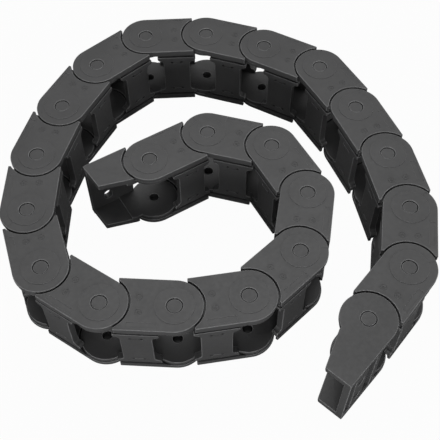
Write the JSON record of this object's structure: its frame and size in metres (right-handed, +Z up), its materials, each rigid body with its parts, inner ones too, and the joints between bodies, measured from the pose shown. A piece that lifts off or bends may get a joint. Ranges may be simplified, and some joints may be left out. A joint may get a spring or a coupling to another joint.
{
  "type": "cable drag chain",
  "caption": "Coiled plastic drag chain: hinged links with snap-in crossbars on both sides and a mounting bracket at each end.",
  "frame": {"origin": "centre of the coil's bounding box, on the surface that the chain lies on", "axes": "+Z up, along every hinge axis; +X from the outer end bracket along the chain's first stretch; the outer bracket bolts on its -Y face"},
  "size_m": [0.2878, 0.3104, 0.052],
  "materials": {
    "side_plates": "matt black glass-filled nylon with a fine moulded grain",
    "crossbars": "matt black glass-filled nylon, a little smoother than the side plates",
    "end_brackets": "matt black glass-filled nylon"
  },
  "bodies": {
    "outer_end": {"outer_end_bracket": "end_brackets"},
    "link_01": {"link_01_side_plates": "side_plates", "link_01_crossbars": "crossbars"},
    "link_02": {"link_02_side_plates": "side_plates", "link_02_crossbars": "crossbars"},
    "link_03": {"link_03_side_plates": "side_plates", "link_03_crossbars": "crossbars"},
    "link_04": {"link_04_side_plates": "side_plates", "link_04_crossbars": "crossbars"},
    "link_05": {"link_05_side_plates": "side_plates", "link_05_crossbars": "crossbars"},
    "link_06": {"link_06_side_plates": "side_plates", "link_06_crossbars": "crossbars"},
    "link_07": {"link_07_side_plates": "side_plates", "link_07_crossbars": "crossbars"},
    "link_08": {"link_08_side_plates": "side_plates", "link_08_crossbars": "crossbars"},
    "link_09": {"link_09_side_plates": "side_plates", "link_09_crossbars": "crossbars"},
    "link_10": {"link_10_side_plates": "side_plates", "link_10_crossbars": "crossbars"},
    "link_11": {"link_11_side_plates": "side_plates", "link_11_crossbars": "crossbars"},
    "link_12": {"link_12_side_plates": "side_plates", "link_12_crossbars": "crossbars"},
    "link_13": {"link_13_side_plates": "side_plates", "link_13_crossbars": "crossbars"},
    "link_14": {"link_14_side_plates": "side_plates", "link_14_crossbars": "crossbars"},
    "link_15": {"link_15_side_plates": "side_plates", "link_15_crossbars": "crossbars"},
    "link_16": {"link_16_side_plates": "side_plates", "link_16_crossbars": "crossbars"},
    "link_17": {"link_17_side_plates": "side_plates", "link_17_crossbars": "crossbars"},
    "link_18": {"link_18_side_plates": "side_plates", "link_18_crossbars": "crossbars"},
    "link_19": {"link_19_side_plates": "side_plates", "link_19_crossbars": "crossbars"},
    "link_20": {"link_20_side_plates": "side_plates", "link_20_crossbars": "crossbars"},
    "link_21": {"link_21_side_plates": "side_plates", "link_21_crossbars": "crossbars"},
    "inner_end": {"inner_end_bracket": "end_brackets"}
  },
  "joints": [
    {"name": "pivot_01", "type": "hinge", "parent": "outer_end", "child": "link_01", "pos_m": [-0.02137, -0.13728, 0.026], "axis": [0, 0, 1], "range_deg": [-2, 44]},
    {"name": "pivot_02", "type": "hinge", "parent": "link_01", "child": "link_02", "pos_m": [0.0246, -0.13568, 0.026], "axis": [0, 0, 1], "range_deg": [-31, 15]},
    {"name": "pivot_03", "type": "hinge", "parent": "link_02", "child": "link_03", "pos_m": [0.06318, -0.11063, 0.026], "axis": [0, 0, 1], "range_deg": [-20, 0]},
    {"name": "pivot_04", "type": "hinge", "parent": "link_03", "child": "link_04", "pos_m": [0.09086, -0.07389, 0.026], "axis": [0, 0, 1], "range_deg": [-11, 35]},
    {"name": "pivot_05", "type": "hinge", "parent": "link_04", "child": "link_05", "pos_m": [0.11103, -0.03254, 0.026], "axis": [0, 0, 1], "range_deg": [-7, 39]},
    {"name": "pivot_06", "type": "hinge", "parent": "link_05", "child": "link_06", "pos_m": [0.126, 0.01095, 0.026], "axis": [0, 0, 1], "range_deg": [-32, 14]},
    {"name": "pivot_07", "type": "hinge", "parent": "link_06", "child": "link_07", "pos_m": [0.11565, 0.05577, 0.026], "axis": [0, 0, 1], "range_deg": [-11, 35]},
    {"name": "pivot_08", "type": "hinge", "parent": "link_07", "child": "link_08", "pos_m": [0.09695, 0.09779, 0.026], "axis": [0, 0, 1], "range_deg": [-20, 26]},
    {"name": "pivot_09", "type": "hinge", "parent": "link_08", "child": "link_09", "pos_m": [0.06499, 0.13088, 0.026], "axis": [0, 0, 1], "range_deg": [-38, 8]},
    {"name": "pivot_10", "type": "hinge", "parent": "link_09", "child": "link_10", "pos_m": [0.01944, 0.13728, 0.026], "axis": [0, 0, 1], "range_deg": [-21, 25]},
    {"name": "pivot_11", "type": "hinge", "parent": "link_10", "child": "link_11", "pos_m": [-0.02538, 0.12694, 0.026], "axis": [0, 0, 1], "range_deg": [-12, 34]},
    {"name": "pivot_12", "type": "hinge", "parent": "link_11", "child": "link_12", "pos_m": [-0.06707, 0.1075, 0.026], "axis": [0, 0, 1], "range_deg": [-15, 31]},
    {"name": "pivot_13", "type": "hinge", "parent": "link_12", "child": "link_13", "pos_m": [-0.10231, 0.07793, 0.026], "axis": [0, 0, 1], "range_deg": [-19, 27]},
    {"name": "pivot_14", "type": "hinge", "parent": "link_13", "child": "link_14", "pos_m": [-0.126, 0.0385, 0.026], "axis": [0, 0, 1], "range_deg": [-39, 7]},
    {"name": "pivot_15", "type": "hinge", "parent": "link_14", "child": "link_15", "pos_m": [-0.1196, -0.00705, 0.026], "axis": [0, 0, 1], "range_deg": [-30, 16]},
    {"name": "pivot_16", "type": "hinge", "parent": "link_15", "child": "link_16", "pos_m": [-0.09128, -0.0433, 0.026], "axis": [0, 0, 1], "range_deg": [-12, 34]},
    {"name": "pivot_17", "type": "hinge", "parent": "link_16", "child": "link_17", "pos_m": [-0.05604, -0.07287, 0.026], "axis": [0, 0, 1], "range_deg": [-35, 11]},
    {"name": "pivot_18", "type": "hinge", "parent": "link_17", "child": "link_18", "pos_m": [-0.01022, -0.07688, 0.026], "axis": [0, 0, 1], "range_deg": [-37, 9]},
    {"name": "pivot_19", "type": "hinge", "parent": "link_18", "child": "link_19", "pos_m": [0.02879, -0.0525, 0.026], "axis": [0, 0, 1], "range_deg": [-38, 8]},
    {"name": "pivot_20", "type": "hinge", "parent": "link_19", "child": "link_20", "pos_m": [0.04453, -0.00928, 0.026], "axis": [0, 0, 1], "range_deg": [-46, 0]},
    {"name": "pivot_21", "type": "hinge", "parent": "link_20", "child": "link_21", "pos_m": [0.02436, 0.03207, 0.026], "axis": [0, 0, 1], "range_deg": [-46, 0]},
    {"name": "pivot_22", "type": "hinge", "parent": "link_21", "child": "inner_end", "pos_m": [-0.01939, 0.04628, 0.026], "axis": [0, 0, 1], "range_deg": [0, 46]}
  ],
  "couplings": [
    {"joint": "pivot_02", "follows": "pivot_03", "ratio": 1.55},
    {"joint": "pivot_04", "follows": "pivot_03", "ratio": 0.55},
    {"joint": "pivot_05", "follows": "pivot_03", "ratio": 0.35},
    {"joint": "pivot_06", "follows": "pivot_03", "ratio": 1.6},
    {"joint": "pivot_07", "follows": "pivot_03", "ratio": 0.55},
    {"joint": "pivot_08", "follows": "pivot_03", "ratio": 1},
    {"joint": "pivot_09", "follows": "pivot_03", "ratio": 1.9},
    {"joint": "pivot_10", "follows": "pivot_03", "ratio": 1.05},
    {"joint": "pivot_11", "follows": "pivot_03", "ratio": 0.6},
    {"joint": "pivot_12", "follows": "pivot_03", "ratio": 0.75},
    {"joint": "pivot_13", "follows": "pivot_03", "ratio": 0.95},
    {"joint": "pivot_14", "follows": "pivot_03", "ratio": 1.95},
    {"joint": "pivot_15", "follows": "pivot_03", "ratio": 1.5},
    {"joint": "pivot_16", "follows": "pivot_03", "ratio": 0.6},
    {"joint": "pivot_17", "follows": "pivot_03", "ratio": 1.75},
    {"joint": "pivot_18", "follows": "pivot_03", "ratio": 1.85},
    {"joint": "pivot_19", "follows": "pivot_03", "ratio": 1.9},
    {"joint": "pivot_20", "follows": "pivot_03", "ratio": 2.3},
    {"joint": "pivot_21", "follows": "pivot_03", "ratio": 2.3}
  ]
}
